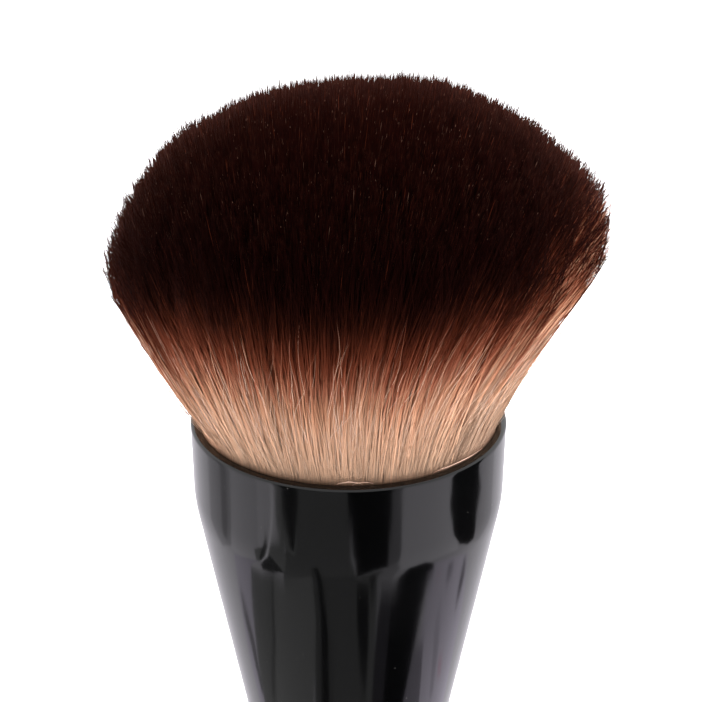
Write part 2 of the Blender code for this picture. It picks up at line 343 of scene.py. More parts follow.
def closeTop(piece, height):
    # fills the open end of a turned piece at that height
    deselectAll()
    piece.select_set(True)
    bpy.context.view_layer.objects.active = piece
    bpy.ops.object.mode_set(mode="EDIT")
    bpy.ops.mesh.select_mode(type="EDGE")
    bpy.ops.mesh.select_all(action="DESELECT")
    bm = bmesh.from_edit_mesh(piece.data)
    for edge in bm.edges:
        if edge.is_boundary and abs(edge.verts[0].co.z - height * mm) < nearEnough:
            edge.select_set(True)
    bmesh.update_edit_mesh(piece.data)
    bpy.ops.mesh.edge_face_add()
    bpy.ops.mesh.select_all(action="SELECT")
    bpy.ops.mesh.normals_make_consistent(inside=False)
    bpy.ops.object.mode_set(mode="OBJECT")


handlePiece = turnedPiece("handleTurned", handleOutline(), handle["sides"], ring=False)
closeTop(handlePiece, handle["tenonTop"])
handlePiece.data.materials.append(lacquerMaterial("blackLacquerOnWood", handle["material"]))
finishPiece(handlePiece, "black_lacquered_wood", "handle")
print("handle turned:", len(handlePiece.data.polygons), "faces")


filaments = {
    "count": 80000,
    "seed": 5,
    "pieces": 8,
    "mouthRadius": 13.95,
    "rootDepth": 6.0,
    "halfWidth": 22.45,
    "halfDepth": 21.7,
    "headShift": 0.7,
    "shoulderHeight": 17.2,
    "domeRise": 13.8,
    "domeTilt": 3.0,
    "domeFall": 2.0,
    "domeFlatness": 2.42,
    "domeRoundness": 0.58,
    # low places of the dome, as (place across the head, breadth, depth)
    "dents": ((-0.97, 0.2, 1.6), (-0.65, 0.3, 0.2), (0.6, 0.15, 0.5), (0.82, 0.16, 1.4)),
    "thickness": 0.077,
    "taperAt": (0.0, 0.3, 0.6, 0.86, 0.985, 1.0),
    "taperWidth": (1.2, 1.15, 1.05, 0.84, 0.6, 0.1),
    "outerShare": 0.87,          # spread beyond which a filament shows along its whole length
    "outerStations": (0.0, 0.22, 0.4, 0.58, 0.76, 0.94),
    "innerStations": (0.0, 0.93, 0.985),
    "bow": 0.5,
    "waist": 0.018,              # how far the flare draws in below the shoulder, as a share of its radius
    "leanPower": 3,              # how late a filament leans into its tuft
    "rootInset": 0.992,          # how near to the axis a root stands, against its place in the mouth
    "rootShare": 0.02,
    "placeScatter": 0.35,
    "rootScatter": 0.045,
    "edgeZone": (0.82, 0.16),    # where the head's edge begins, as a share of its radius, and how wide it is
    "paintedBacklightZone": (0.6, 0.4),      # the same for the ends painted paler near the edge, painted backlight, and for the ragged, paler right side, painted light from the right
    "rightPaintedLightZone": (0.58, 0.3),
    "tipScatter": 0.36,
    "shortShare": 0.15,
    "shortLength": 1.0,
    "wander": 0.5,
    "wave": 0.2,
    "secondWave": 0.6,           # the second wave, as a share of the first
    "gatherReach": 1.03,         # groups' middles lie up to this far out
    "tufts": 4200,
    "tuftPull": 0.3,
    "edgePull": 0.32,            # the same at the head's edge, where tufts stand free
    "tuftLength": 0.26,
    "edgeLength": 0.3,
    "edgeReach": 0.1,
    "edgeWisps": 0.3,            # the longer ends that stand out at the edge
    "tuftPoint": 0.55,           # how much shorter a tuft is at its sides than at its middle
    "tuftPointInside": 0.3,      # the share of that which is left away from the edge
    "sideways": (0.31, 0.95, 0.05),      # a way that no filament runs along, to measure its turn from
    "turnByTone": 40,
    "toneBand": 0.008,           # how much of the map's width one filament takes
    "shadeHeight": 11.0,         # the middle of the form that the head shades as
    "ownShade": 0.09,
    "dyeHeight": 11.1,
    "dyeSpan": 24,               # millimetres from bare to fully dyed, and the dye's full value
    "dyeFull": 0.7,
    "sideDyeAndLight": (-3.1, 1.6),     # how much higher the dye begins at the far left and the far right; the rise at the right is painted light from the right
    "dyeScatter": 0.6,
    # painted light from the right: toward the far right the dye line scatters, fades and rises more,
    # painting that side paler
    "rightDyeAndLightScatter": 1.0,
    "rightPaintedLightFade": 1.6,
    "rightEdgePaintedLight": 8.5,
    "dyePatches": 0.5,
    "locks": 300,
    "lockDye": 0.95,
    "lockTone": 0.17,
    "ownTone": 0.15,
    "lockBow": 0.12,
    "fadedAndRightLitShare": (0.12, 0.45),  # filaments that took less dye: everywhere, and more at the far right, where the extra ones are painted light from the right
    "fadedAndRightLit": (0.06, 0.24),
    "paintedTipGlint": 0.038,            # painted highlight at a cut end: how far its colour pales, on the scale of the dye
    # painted backlight: the ends near the head's edge are painted paler
    "paintedEdgeBacklight": 0.13,
    "paintedGlintBelow": 0.6,            # the share of it at the ring below the end
}


def filamentForm(name, stations):
    # one three-sided filament of unit length: rings at the stations, and a point at the tip
    deselectAll()
    bpy.ops.mesh.primitive_circle_add(vertices=3, radius=1, fill_type="NGON")
    form = activePiece(name)
    bpy.ops.object.mode_set(mode="EDIT")
    bpy.ops.mesh.select_all(action="SELECT")
    heights = list(stations[1:]) + [1.0]
    height = 0.0
    for nextHeight in heights:
        move = {"value": (0, 0, nextHeight - height)}
        bpy.ops.mesh.extrude_region_move(TRANSFORM_OT_translate=move)
        height = nextHeight
    bpy.ops.mesh.merge(type="CENTER")
    bpy.ops.mesh.select_all(action="SELECT")
    bpy.ops.mesh.normals_make_consistent(inside=False)
    bpy.ops.object.mode_set(mode="OBJECT")
    mesh = form.data
    places = np.array([v.co[:] for v in mesh.vertices])
    faces = [list(p.vertices) for p in mesh.polygons]
    levels = np.array([*stations, 1.0])
    ring = np.abs(places[:, 2:3] - levels[None, :]).argmin(1)
    corner = np.round((np.degrees(np.arctan2(places[:, 1], places[:, 0])) - 90) / 120).astype(int) % 3
    shape = {"ring": ring, "corner": corner, "faces": faces, "levels": levels}
    bpy.data.objects.remove(form)
    bpy.data.meshes.remove(mesh)
    return shape


def unit(vectors):
    # the same ways, one long
    return vectors / np.linalg.norm(vectors, axis=-1, keepdims=True)


def acrossForm(shape):
    # how far round the form each face corner lies, from 0 to 1, and the ring it lies on
    ring, corner = shape["ring"], shape["corner"]
    point = len(shape["levels"]) - 1
    across, up = [], []
    for face in shape["faces"]:
        turns = [int(corner[v]) for v in face if ring[v] < point]
        seam = 0 in turns and 2 in turns and 1 not in turns
        for v in face:
            if ring[v] == point:
                across.append(0.5)
            else:
                across.append(1.0 if seam and corner[v] == 0 else corner[v] / 3)
            up.append(int(ring[v]))
    return np.array(across), np.array(up)


def filamentMesh(name, shape, path, width, tone, dye):
    # bends a copy of the form along each path.
    # path: (hairs, rings, 3), width: (hairs, rings), tone: (hairs,), dye: (hairs, rings)
    hairs, rings = path.shape[:2]
    along = unit(np.gradient(path, axis=1))
    side = unit(np.cross(along, np.array(filaments["sideways"])))
    other = np.cross(along, side)
    ring, corner = shape["ring"], shape["corner"]
    turn = tone[:, None] * filaments["turnByTone"] + corner[None, :] * 2 * math.pi / 3
    reach = width[:, ring] / 2 * (ring[None, :] < rings - 1)
    radial = np.cos(turn)[..., None] * side[:, ring] + np.sin(turn)[..., None] * other[:, ring]
    places = path[:, ring] + reach[..., None] * radial

    counts = np.array([len(face) for face in shape["faces"]])
    corners = np.concatenate(shape["faces"])
    size = len(ring)
    mesh = bpy.data.meshes.new(name)
    mesh.vertices.add(hairs * size)
    mesh.vertices.foreach_set("co", places.astype(np.float32).ravel())
    loops = (np.arange(hairs)[:, None] * size + corners[None, :]).ravel()
    mesh.loops.add(len(loops))
    mesh.loops.foreach_set("vertex_index", loops.astype(np.int32))
    totals = np.tile(counts, hairs)
    starts = np.concatenate([[0], np.cumsum(totals)[:-1]])
    mesh.polygons.add(len(totals))
    mesh.polygons.foreach_set("loop_start", starts.astype(np.int32))
    layer = mesh.uv_layers.new(name="OFBake")
    across, up = acrossForm(shape)
    band = filaments["toneBand"]
    u = tone[:, None] * (1 - band) + across[None, :] * band
    v = dye[:, up]
    layer.uv.foreach_set("vector", np.stack([u, v], 2).astype(np.float32).ravel())
    mesh.update(calc_edges=True)
    mesh.validate()
    mesh.shade_smooth()
    # the head shades as one soft form, with a little of each filament's own roundness
    centre = np.array([filaments["headShift"], 0, filaments["shadeHeight"] + rimHeight / mm]) * mm
    normals = unit(unit(places - centre) * (1 - filaments["ownShade"]) + radial * filaments["ownShade"])
    mesh.normals_split_custom_set_from_vertices(normals.reshape(-1, 3))
    piece = bpy.data.objects.new(name, mesh)
    bpy.context.scene.collection.objects.link(piece)
    return piece


def headSurface(place):
    # where the point of the unit disc lies on the shoulder and dome, in millimetres over the rim
    spread = np.minimum(np.hypot(*place.T), 1)
    x = filaments["halfWidth"] * place[:, 0] + filaments["headShift"]
    y = filaments["halfDepth"] * place[:, 1]
    rise = filaments["domeRise"] * (1 - spread ** filaments["domeFlatness"]) ** filaments["domeRoundness"]
    slope = math.tan(math.radians(filaments["domeTilt"])) * x
    slope -= math.tan(math.radians(filaments["domeFall"])) * y
    dent = sum(depth * np.exp(-((x / filaments["halfWidth"] - middle) / breadth) ** 2)
               for middle, breadth, depth in filaments["dents"])
    return np.stack([x, y, filaments["shoulderHeight"] + rise + slope - dent], 1)


def inDisc(place):
    return place / np.maximum(np.hypot(*place.T), 1)[:, None]


def gather(place, count, dice):
    # sorts the filaments into groups; for each one the way to its group's middle, and the group's number
    reach = filaments["gatherReach"]
    middles = dice.uniform(-reach, reach, (count * 2, 2))
    middles = middles[np.hypot(*middles.T) < reach][:count]
    tree = KDTree(len(middles))
    for i, (x, y) in enumerate(middles):
        tree.insert((x, y, 0), i)
    tree.balance()
    nearest = np.array([tree.find((x, y, 0))[1] for x, y in place])
    return middles[nearest] - place, nearest


def bendPaths(mouth, straightTip, tip, free, bow=None, wave=None):
    # from the mouth to the tip: a straight run, a bow, a wave, and the lean into the tuft near the tip
    share = free[:, :, None]
    path = mouth[:, None] + (straightTip - mouth)[:, None] * share
    path += (tip - straightTip)[:, None] * share ** filaments["leanPower"]
    hump = np.sin(math.pi * share)
    path[..., :2] *= 1 - filaments["waist"] * hump
    if bow is not None:
        flat = bow[:, None] * hump + wave[:, None] * np.sin(2 * math.pi * share)
        path[..., :2] += flat * np.sqrt(share)
    path[..., 0:1] -= filaments["bow"] * hump
    return path


def rootUnderRim(path, mouth, inset):
    # the first ring stands in the resin, under the ring in the mouth
    path[:, 0, :2] = mouth[:, :2] * inset
    path[:, 0, 2] = -filaments["rootDepth"]


def widthsAt(levels, count):
    widths = np.interp(levels, filaments["taperAt"], filaments["taperWidth"]) * filaments["thickness"]
    return np.repeat(widths[None, :], count, 0)


def zone(value, limits):
    # 0 up to where the zone begins, and 1 from where it ends
    start, breadth = limits
    return np.clip((value - start) / breadth, 0, 1)


def scatteredPlaces(dice, count):
    # spread over the unit disc as evenly as a sunflower's seeds, and then a little disturbed
    order = np.arange(count)
    spread = np.sqrt((order + 0.5) / count)
    turn = order * math.pi * (3 - math.sqrt(5))
    place = np.stack([spread * np.cos(turn), spread * np.sin(turn)], 1)
    return inDisc(place + dice.normal(0, filaments["placeScatter"] / math.sqrt(count), (count, 2)))


def unevenReach(dice, tuft, pull, edge):
    # how far each one grows past the dome: by filament, by tuft, and less at a tuft's sides
    count = len(tuft)
    reach = dice.normal(0, filaments["tipScatter"], count)
    short = dice.random(count) < filaments["shortShare"]
    reach -= short * dice.exponential(filaments["shortLength"], count)
    unevenness = filaments["tuftLength"] + (filaments["edgeLength"] - filaments["tuftLength"]) * edge
    reach += dice.normal(0, 1, filaments["tufts"])[tuft] * unevenness
    aside = np.hypot(*pull.T) * math.sqrt(filaments["tufts"])
    inside = filaments["tuftPointInside"]
    reach -= filaments["tuftPoint"] * aside ** 2 * (inside + (1 - inside) * edge)
    return reach + edge * (filaments["edgeReach"] + dice.exponential(filaments["edgeWisps"], count))


def dyeLines(dice, place, tuft, lock):
    # the height over the rim at which each filament is half dyed; toward the far right it rises, scatters
    # and fades more, painted light from the right that makes that side paler
    count = len(place)
    left, right = np.clip(-place[:, 0], 0, 1), np.clip(place[:, 0], 0, 1)
    lower, higher = filaments["sideDyeAndLight"]
    line = filaments["dyeHeight"] + higher * right + lower * left ** 2
    line += dice.normal(0, 1, count) * (filaments["dyeScatter"] + filaments["rightDyeAndLightScatter"] * right)
    line += dice.exponential(filaments["rightPaintedLightFade"], count) * right ** 2
    line += filaments["rightEdgePaintedLight"] * zone(right, filaments["rightPaintedLightZone"]) * dice.random(count)
    line += dice.normal(0, filaments["dyePatches"], filaments["tufts"])[tuft]
    return line + dice.normal(0, filaments["lockDye"], filaments["locks"])[lock]


def growFilaments():
    dice = np.random.default_rng(filaments["seed"])
    count = filaments["count"]
    place = scatteredPlaces(dice, count)
    spread = np.hypot(*place.T)
    edge = zone(spread, filaments["edgeZone"])
    pull, tuft = gather(place, filaments["tufts"], dice)
    lock = gather(place, filaments["locks"], dice)[1]
    lean = filaments["tuftPull"] + (filaments["edgePull"] - filaments["tuftPull"]) * edge
    mouth = onMouth(inDisc(place + dice.normal(0, filaments["rootScatter"], (count, 2))))
    wander = dice.normal(0, filaments["wander"] / filaments["halfWidth"], (count, 2))
    straightTip = headSurface(inDisc(place + wander))
    tip = headSurface(inDisc(place + wander / 2 + pull * lean[:, None]))
    reach = unevenReach(dice, tuft, pull, edge)
    tip = mouth + (tip - mouth) * (1 + reach / np.linalg.norm(tip - mouth, axis=1))[:, None]

    dyeLine = dyeLines(dice, place, tuft, lock)
    tone = 0.5 + dice.normal(0, filaments["lockTone"], filaments["locks"])[lock]
    tone = np.clip(tone + dice.normal(0, filaments["ownTone"], count), 0, 1)
    # painted highlights at the cut ends, and painted backlight on the ends near the head's edge
    paintedTipLight = dice.exponential(filaments["paintedTipGlint"], count)
    paintedTipLight += filaments["paintedEdgeBacklight"] * zone(spread, filaments["paintedBacklightZone"]) * dice.random(count)
    # more of these at the far right: painted light from the right, painting that side paler
    fadedAndRightLitShare, rightPaintedLightShare = filaments["fadedAndRightLitShare"]
    fadedAndRightLit = dice.random(count) < fadedAndRightLitShare + rightPaintedLightShare * np.clip(place[:, 0], 0, 1) ** 2
    deepest = filaments["dyeFull"] - fadedAndRightLit * dice.uniform(*filaments["fadedAndRightLit"], count)
    bow = dice.normal(0, filaments["wave"], (count, 2))
    wave = dice.normal(0, filaments["wave"] * filaments["secondWave"], (count, 2))
    bow += dice.normal(0, filaments["lockBow"], (filaments["locks"], 2))[lock]

    pieces = []
    turn = np.arctan2(place[:, 1], place[:, 0]) / (2 * math.pi) + 0.5
    sector = np.floor(turn * filaments["pieces"]).astype(int) % filaments["pieces"]
    outer = spread > filaments["outerShare"]
    for kind, chosen in (("Outer", outer), ("Inner", ~outer)):
        inside = kind == "Inner"
        shape = filamentForm("filamentForm", filaments["innerStations" if inside else "outerStations"])
        levels = shape["levels"]
        for part in range(filaments["pieces"]):
            mine = chosen & (sector == part)
            free = freeShares(levels, mine.sum(), 0 if inside else 1)
            path = bendPaths(mouth[mine], straightTip[mine], tip[mine], free, bow[mine], wave[mine])
            if not inside:
                rootUnderRim(path, mouth[mine], filaments["rootInset"])
            dye = np.minimum(dyeAlong(path[..., 2], dyeLine[mine]), deepest[mine][:, None])
            dye[:, -1] += paintedTipLight[mine]
            if inside:
                dye[:, -2] += paintedTipLight[mine] * filaments["paintedGlintBelow"]
            path[..., 2] += rimHeight / mm
            width = widthsAt(levels, mine.sum())
            name = f"filaments{kind}{part + 1}"
            pieces.append(filamentMesh(name, shape, path * mm, width * mm, tone[mine], dye))
    return pieces


def onMouth(place):
    return np.concatenate([place * filaments["mouthRadius"], np.zeros((len(place), 1))], 1)


def freeShares(levels, count, mouthRing=1):
    # the free length starts at the ring in the mouth; the one before it is the root under the rim
    start = levels[mouthRing]
    free = np.clip((levels - start) / (1 - start), filaments["rootShare"] * mouthRing, 1)
    return np.repeat(free[None, :], count, 0)


def dyeAlong(height, dyeLine):
    # from bare to fully dyed, and half way at the dye line
    span = filaments["dyeSpan"]
    return filaments["dyeFull"] * np.clip((height - dyeLine[:, None] + span / 2) / span, 0, 1)


filamentLooks = {
    "dyedFilament": {
        "dye": [
            # the low end is darker: painted shade on the filaments near the rim
            (0.000, (0.38, 0.25, 0.175)),
            (0.060, (0.48, 0.30, 0.20)),
            (0.128, (0.61, 0.365, 0.24)),
            (0.200, (0.67, 0.385, 0.25)),
            (0.270, (0.55, 0.260, 0.150)),
            (0.333, (0.38, 0.134, 0.076)),
            (0.390, (0.205, 0.050, 0.024)),
            (0.450, (0.100, 0.021, 0.0095)),
            (0.507, (0.040, 0.0085, 0.0042)),
            (0.570, (0.015, 0.0029, 0.0018)),
            (0.660, (0.0085, 0.0011, 0.0008)),
            # past the full dye at 0.7: painted highlights and painted backlight on the ends
            (0.740, (0.0100, 0.0015, 0.0010)),
            (0.830, (0.040, 0.0130, 0.0085)),
            (0.930, (0.15, 0.080, 0.058)),
        ],
        "specular": 0.015,
        "sheen": 0.10,
    },
    # pale strays, whose paleness is partly their own and partly a painted highlight along single strands
    "paleFilament": {
        "dye": [
            (0.000, (0.66, 0.47, 0.36)),
            (0.200, (0.80, 0.54, 0.41)),
            (0.333, (0.52, 0.27, 0.18)),
            (0.450, (0.24, 0.100, 0.066)),
            (0.570, (0.11, 0.044, 0.031)),
            (0.700, (0.06, 0.023, 0.017)),
            (0.930, (0.18, 0.10, 0.078)),
        ],
        "specular": 0.1,
        "sheen": 0.15,
    },
}


filamentShade = {
    "tone": {"To Min": 0.84, "To Max": 1.16},
    "surface": {"Roughness": 0.42, "IOR": 1.5, "Sheen Roughness": 0.35, "Sheen Tint": (0.9, 0.32, 0.22, 1)},
    "throughShare": 0.35,        # the light that a filament scatters through itself, and how it deepens
    "throughGamma": 1.2,
    "passedShare": 0.9,          # the light that goes by in a filament's shadow, and how little it deepens
    "passedGamma": 0.5,
}


def filamentMaterial(name):
    # colour by the filament's own map: up it the dye, darker at its low end for painted shade near the rim
    # and paler past the full dye for painted highlights at the ends; across it the tone of the single
    # filament
    look = filamentLooks[name]
    material, nodes, shader = newMaterial(name)
    parts = addNode(nodes, "SeparateXYZ")
    join(addNode(nodes, "UVMap", uv_map="OFBake"), "UV", parts, "Vector")
    dye = rampOf(nodes, look["dye"])
    join(parts, "Y", dye, "Fac")
    light = addNode(nodes, "MapRange", filamentShade["tone"])
    join(parts, "X", light, "Value")
    colour = addNode(nodes, "VectorMath", operation="SCALE")
    join(dye, "Color", colour, "Vector")
    join(light, "Result", colour, "Scale")
    join(colour, "Vector", shader, "Base Color")
    setInputs(shader, filamentShade["surface"])
    setInputs(shader, {"Specular IOR Level": look["specular"], "Sheen Weight": look["sheen"]})
    through = addNode(nodes, "BsdfTranslucent")
    deeper = addNode(nodes, "Gamma", {"Gamma": filamentShade["throughGamma"]})
    join(colour, "Vector", deeper, "Color")
    join(deeper, "Color", through, "Color")
    both = addNode(nodes, "MixShader", {"Fac": filamentShade["throughShare"]})
    join(shader, "BSDF", both, 1)
    join(through, "BSDF", both, 2)
    # a filament lets part of the light through to the ones behind it, in its own colour
    passed = addNode(nodes, "Math", {1: filamentShade["passedShare"]}, operation="MULTIPLY")
    join(addNode(nodes, "LightPath"), "Is Shadow Ray", passed, 0)
    clear = addNode(nodes, "BsdfTransparent")
    lighter = addNode(nodes, "Gamma", {"Gamma": filamentShade["passedGamma"]})
    join(colour, "Vector", lighter, "Color")
    join(lighter, "Color", clear, "Color")
    shadow = addNode(nodes, "MixShader")
    join(passed, "Value", shadow, "Fac")
    join(both, "Shader", shadow, 1)
    join(clear, "BSDF", shadow, 2)
    join(shadow, "Shader", nodes["Material Output"], "Surface")
    return material


loose = {
    "seed": 23,
    "stations": tuple(i / 13 for i in range(13)),
    "taper": (1.1, 1.0, 0.9),
    "cutTips": {                 # blunt ends whose last bit is painted pale, painted highlights where they catch the light on the dome
        "count": 4400,
        "stations": (0.0, 0.5, 0.991, 0.9945),
        "paintedGlintFrom": 0.993,
        "spread": 0.98,
        "reach": (-0.3, 0.15),
        "paintedTipLight": (0.06, 0.19),
        "thin": (0.4, 0.75),
    },
    "fringe": {                  # tufts of fine ends that stand out of the dome, most of them near its edge
        "tufts": 1750,
        "hairs": 5,
        "stations": (0.0, 0.93, 0.985),
        "spread": (0.3, 1),
        "spreadPower": 0.35,
        "inset": 0.93,
        "breadth": 0.022,        # of a tuft at its foot and at its point, as shares of the head's radius
        "pointBreadth": 0.006,
        "reach": (0.1, 1.4),
        "ownReach": 0.22,        # what a single hair adds, up to a limit, after all of them are set back
        "ownLimit": 0.6,
        "setBack": 0.3,
        "elbow": 0.78,
        # the fine ends and the ring below them are painted paler: painted backlight
        "paintedEndLight": (0.76, 0.86),
        "paintedElbowLight": 0.02,
        "thin": 0.75,
    },
    "strays": {
        "turn": 0.045,
        "inset": 0.99,
        "rootInset": 0.985,
        "bow": 0.45,
        "wave": 0.17,
        "curl": 0.07,
        "phase": (0, 6),
        "dyeHeight": (11, 16),
        "dyeFull": (0.45, 0.7),
    },
    # pale filaments that cross the others on the flare, and thin ones that stand off the head
    "wisps": {
        "count": 480,
        "length": (0.35, 1.0),
        "off": (-0.1, 0.1),
        "lift": (0.0, 0.15),
        "thin": (0.3, 0.6),
    },
    "flyaways": {
        "count": 130,
        "length": (0.85, 1.04),
        "off": (0.1, 1.5),
        "lift": (0.2, 0.9),
        "thin": 0.4,
    },
    "rimThin": 0.9,
    # the rim filaments' pale colour is partly a painted highlight along them
    "rimDyeAndHighlight": 0.17,
    # filaments caught at the rim: azimuth (0 is the camera's side, positive to its right), radius, height
    "rimPaths": [
        [(28, 13.6, -0.6), (33, 14.3, 0.25), (40, 14.5, 0.4), (48, 14.45, 0.35), (56, 14.3, 0.2),
         (62, 13.8, -0.4)],
        [(30, 13.6, -0.8), (36, 14.2, 0.15), (44, 14.3, 0.25), (52, 14.2, 0.1), (57, 13.6, -0.5)],
        [(-5, 13.6, -0.6), (-3.5, 14.3, 0.2), (0, 14.5, 0.5), (3.5, 14.4, 0.35), (6, 13.8, -0.4)],
        [(0, 13.6, -0.7), (2, 14.3, 0.2), (5, 14.5, 0.45), (8, 14.3, 0.2), (10, 13.6, -0.6)],
        [(-72, 13.2, 0.3), (-76, 14.0, 0.9), (-82, 15.0, 0.7), (-88, 15.9, 0.25), (-93, 16.7, 0.5)],
    ],
}


def looseMesh(name, shape, path, thin, tone, dye):
    # path is in millimetres over the rim, thin a share of the usual thickness
    levels = shape["levels"]
    width = np.interp(levels, (0, 0.5, 1), loose["taper"])[None, :] * thin[:, None] * filaments["thickness"]
    path[..., 2] += rimHeight / mm
    return filamentMesh(name, shape, path * mm, width * mm, tone, dye)


def onCircle(turn):
    return np.stack([np.cos(turn), np.sin(turn)], 1)


def growTips(dice):
    tips = loose["cutTips"]
    shape = filamentForm("tipForm", tips["stations"])
    levels, count = shape["levels"], tips["count"]
    turn, spread = dice.uniform(-math.pi, math.pi, count), np.sqrt(dice.uniform(0, tips["spread"], count))
    place = onCircle(turn) * spread[:, None]
    mouth, tip = onMouth(place), headSurface(place)
    tip += unit(tip - mouth) * dice.uniform(*tips["reach"], (count, 1))
    path = bendPaths(mouth, tip, tip, freeShares(levels, count, 0))
    # painted highlights: the last bit of each end is painted pale
    least, most = tips["paintedTipLight"]
    paintedTipLight = least + most * dice.random(count) ** 3
    dye = dyeAlong(path[..., 2], np.full(count, filaments["dyeHeight"]))
    dye += (levels > tips["paintedGlintFrom"])[None, :] * paintedTipLight[:, None]
    thin = dice.uniform(*tips["thin"], count)
    return looseMesh("filamentsCutTips", shape, path, thin, dice.random(count), dye)


def growFringe(dice):
    # each filament of a tuft comes up beside the others and leans in to the tuft's point
    fringe = loose["fringe"]
    shape = filamentForm("fringeForm", fringe["stations"])
    tufts, hairs = fringe["tufts"], fringe["hairs"]
    count = tufts * hairs
    turn = dice.uniform(-math.pi, math.pi, tufts)
    spread = dice.uniform(*fringe["spread"], tufts) ** fringe["spreadPower"]
    middle = np.repeat(onCircle(turn) * spread[:, None], hairs, 0)
    beside = inDisc(middle + dice.normal(0, fringe["breadth"], (count, 2)))
    mouth, side = onMouth(beside * fringe["inset"]), headSurface(beside)
    tip = headSurface(inDisc(middle + dice.normal(0, fringe["pointBreadth"], (count, 2))))
    reach = np.repeat(dice.uniform(*fringe["reach"], tufts), hairs)
    reach += np.minimum(dice.exponential(fringe["ownReach"], count), fringe["ownLimit"]) - fringe["setBack"]
    tip += unit(tip - mouth) * reach[:, None]
    foot = mouth + (side - mouth) * fringe["stations"][1]
    path = np.stack([mouth, foot, foot + (tip - foot) * fringe["elbow"], tip], 1)
    dye = dyeAlong(path[..., 2], np.full(count, filaments["dyeHeight"]))
    # painted backlight: the end and the ring below it are painted paler
    dye[:, -1] = dice.uniform(*fringe["paintedEndLight"], count)
    dye[:, -2] += fringe["paintedElbowLight"]
    thin = np.full(count, fringe["thin"])
    return looseMesh("filamentsFringe", shape, path, thin, dice.random(count), dye)


def growStrays(dice, name, kind):
    # wisps lie on the flare and end somewhere along it, flyaways stand off it
    strays = loose["strays"]
    shape = filamentForm("looseForm", loose["stations"])
    count = kind["count"]
    turn = dice.uniform(-math.pi, math.pi, count)
    finish = onCircle(turn + dice.normal(0, strays["turn"], count))
    mouth, shoulder = onMouth(onCircle(turn) * strays["inset"]), headSurface(finish)
    outward = np.concatenate([finish, np.zeros((count, 1))], 1)
    sideways = np.stack([-finish[:, 1], finish[:, 0], np.zeros(count)], 1)
    tip = mouth + (shoulder - mouth) * dice.uniform(*kind["length"], count)[:, None]
    tip += outward * dice.uniform(*kind["off"], count)[:, None]
    free = freeShares(shape["levels"], count)
    path = bendPaths(mouth, tip, tip, free)
    hump = np.sin(math.pi * free)
    lift = hump * dice.uniform(*kind["lift"], count)[:, None]
    path += outward[:, None] * lift[..., None]
    swing = hump * dice.normal(0, strays["bow"], (count, 1))
    swing += np.sin(3 * math.pi * free) * dice.normal(0, strays["wave"], (count, 1))
    phase = dice.uniform(*strays["phase"], (count, 1))
    swing += np.sin(5 * math.pi * free + phase) * hump * dice.normal(0, strays["curl"], (count, 1))
    path += sideways[:, None] * swing[..., None]
    rootUnderRim(path, mouth, strays["rootInset"])
    dye = dyeAlong(path[..., 2], dice.uniform(*strays["dyeHeight"], count))
    dye = np.minimum(dye, dice.uniform(*strays["dyeFull"], (count, 1)))
    thin = kind["thin"]
    thin = dice.uniform(*thin, count) if isinstance(thin, tuple) else np.full(count, thin)
    return looseMesh(name, shape, path, thin, dice.random(count), dye)


def growRim(dice):
    # each path's stations are spread evenly over the form's rings
    shape = filamentForm("looseForm", loose["stations"])
    levels = shape["levels"]
    paths = []
    for stations in loose["rimPaths"]:
        turn, radius, height = np.array(stations, float).T
        turn = np.radians(turn)
        places = np.stack([radius * np.sin(turn), -radius * np.cos(turn), height], 1)
        along = np.linspace(0, 1, len(stations))
        paths.append(np.stack([np.interp(levels, along, column) for column in places.T], 1))
    path = np.array(paths)
    count = len(paths)
    dye = np.full((count, len(levels)), loose["rimDyeAndHighlight"])
    return looseMesh("filamentsRim", shape, path, np.full(count, loose["rimThin"]), dice.random(count), dye)


looseDice = np.random.default_rng(loose["seed"])
dyedPieces = growFilaments() + [growTips(looseDice), growFringe(looseDice)]
dyedPieces.append(growStrays(looseDice, "filamentsFlyaway", loose["flyaways"]))
palePieces = [growStrays(looseDice, "filamentsWisp", loose["wisps"]), growRim(looseDice)]
for name, pieces in (("dyedFilament", dyedPieces), ("paleFilament", palePieces)):
    look = filamentMaterial(name)
    for piece in pieces:
        piece.data.materials.append(look)
filamentPieces = dyedPieces + palePieces
for piece in filamentPieces:
    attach(piece, "root")
    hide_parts("hair_bundle")
total = sum(len(piece.data.polygons) for piece in filamentPieces)
print("filaments grown:", filaments["count"], "in", len(filamentPieces), "pieces,", total, "faces")


innerDetail = {"noise": 4, "darkAt": 0.3, "lightAt": 0.7, "bump": 0.4}


def innerMaterial(name, look):
    material, nodes, shader = newMaterial(name)
    noise = addNode(nodes, "TexNoise", {"Scale": look["scale"], "Detail": innerDetail["noise"]})
    join(addNode(nodes, "TexCoord"), "Object", noise, "Vector")
    ramp = rampOf(nodes, [(innerDetail["darkAt"], look["dark"]), (innerDetail["lightAt"], look["light"])])
    join(noise, "Fac", ramp, "Fac")
    join(ramp, "Color", shader, "Base Color")
    bump = addNode(nodes, "Bump", {"Strength": innerDetail["bump"], "Distance": look["depth"] * mm})
    join(noise, "Fac", bump, "Height")
    join(bump, "Normal", shader, "Normal")
    shader.inputs["Roughness"].default_value = look["roughness"]
    return material


innerLooks = {
    "root_plug": {"name": "pottingResin", "dark": (0.40, 0.27, 0.15), "light": (0.58, 0.44, 0.29),
                  "scale": 350, "depth": 0.05, "roughness": 0.35},
    "binding_thread": {"name": "cottonThread", "dark": (0.55, 0.48, 0.38), "light": (0.74, 0.68, 0.58),
                       "scale": 3000, "depth": 0.05, "roughness": 0.85},
    "tenon_glue": {"name": "woodAdhesive", "dark": (0.50, 0.41, 0.28), "light": (0.66, 0.58, 0.43),
                   "scale": 500, "depth": 0.04, "roughness": 0.4},
}
for node, look in innerLooks.items():
    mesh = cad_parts[node].data
    mesh.materials.clear()
    mesh.materials.append(innerMaterial(look["name"], look))
print("inner pieces finished")


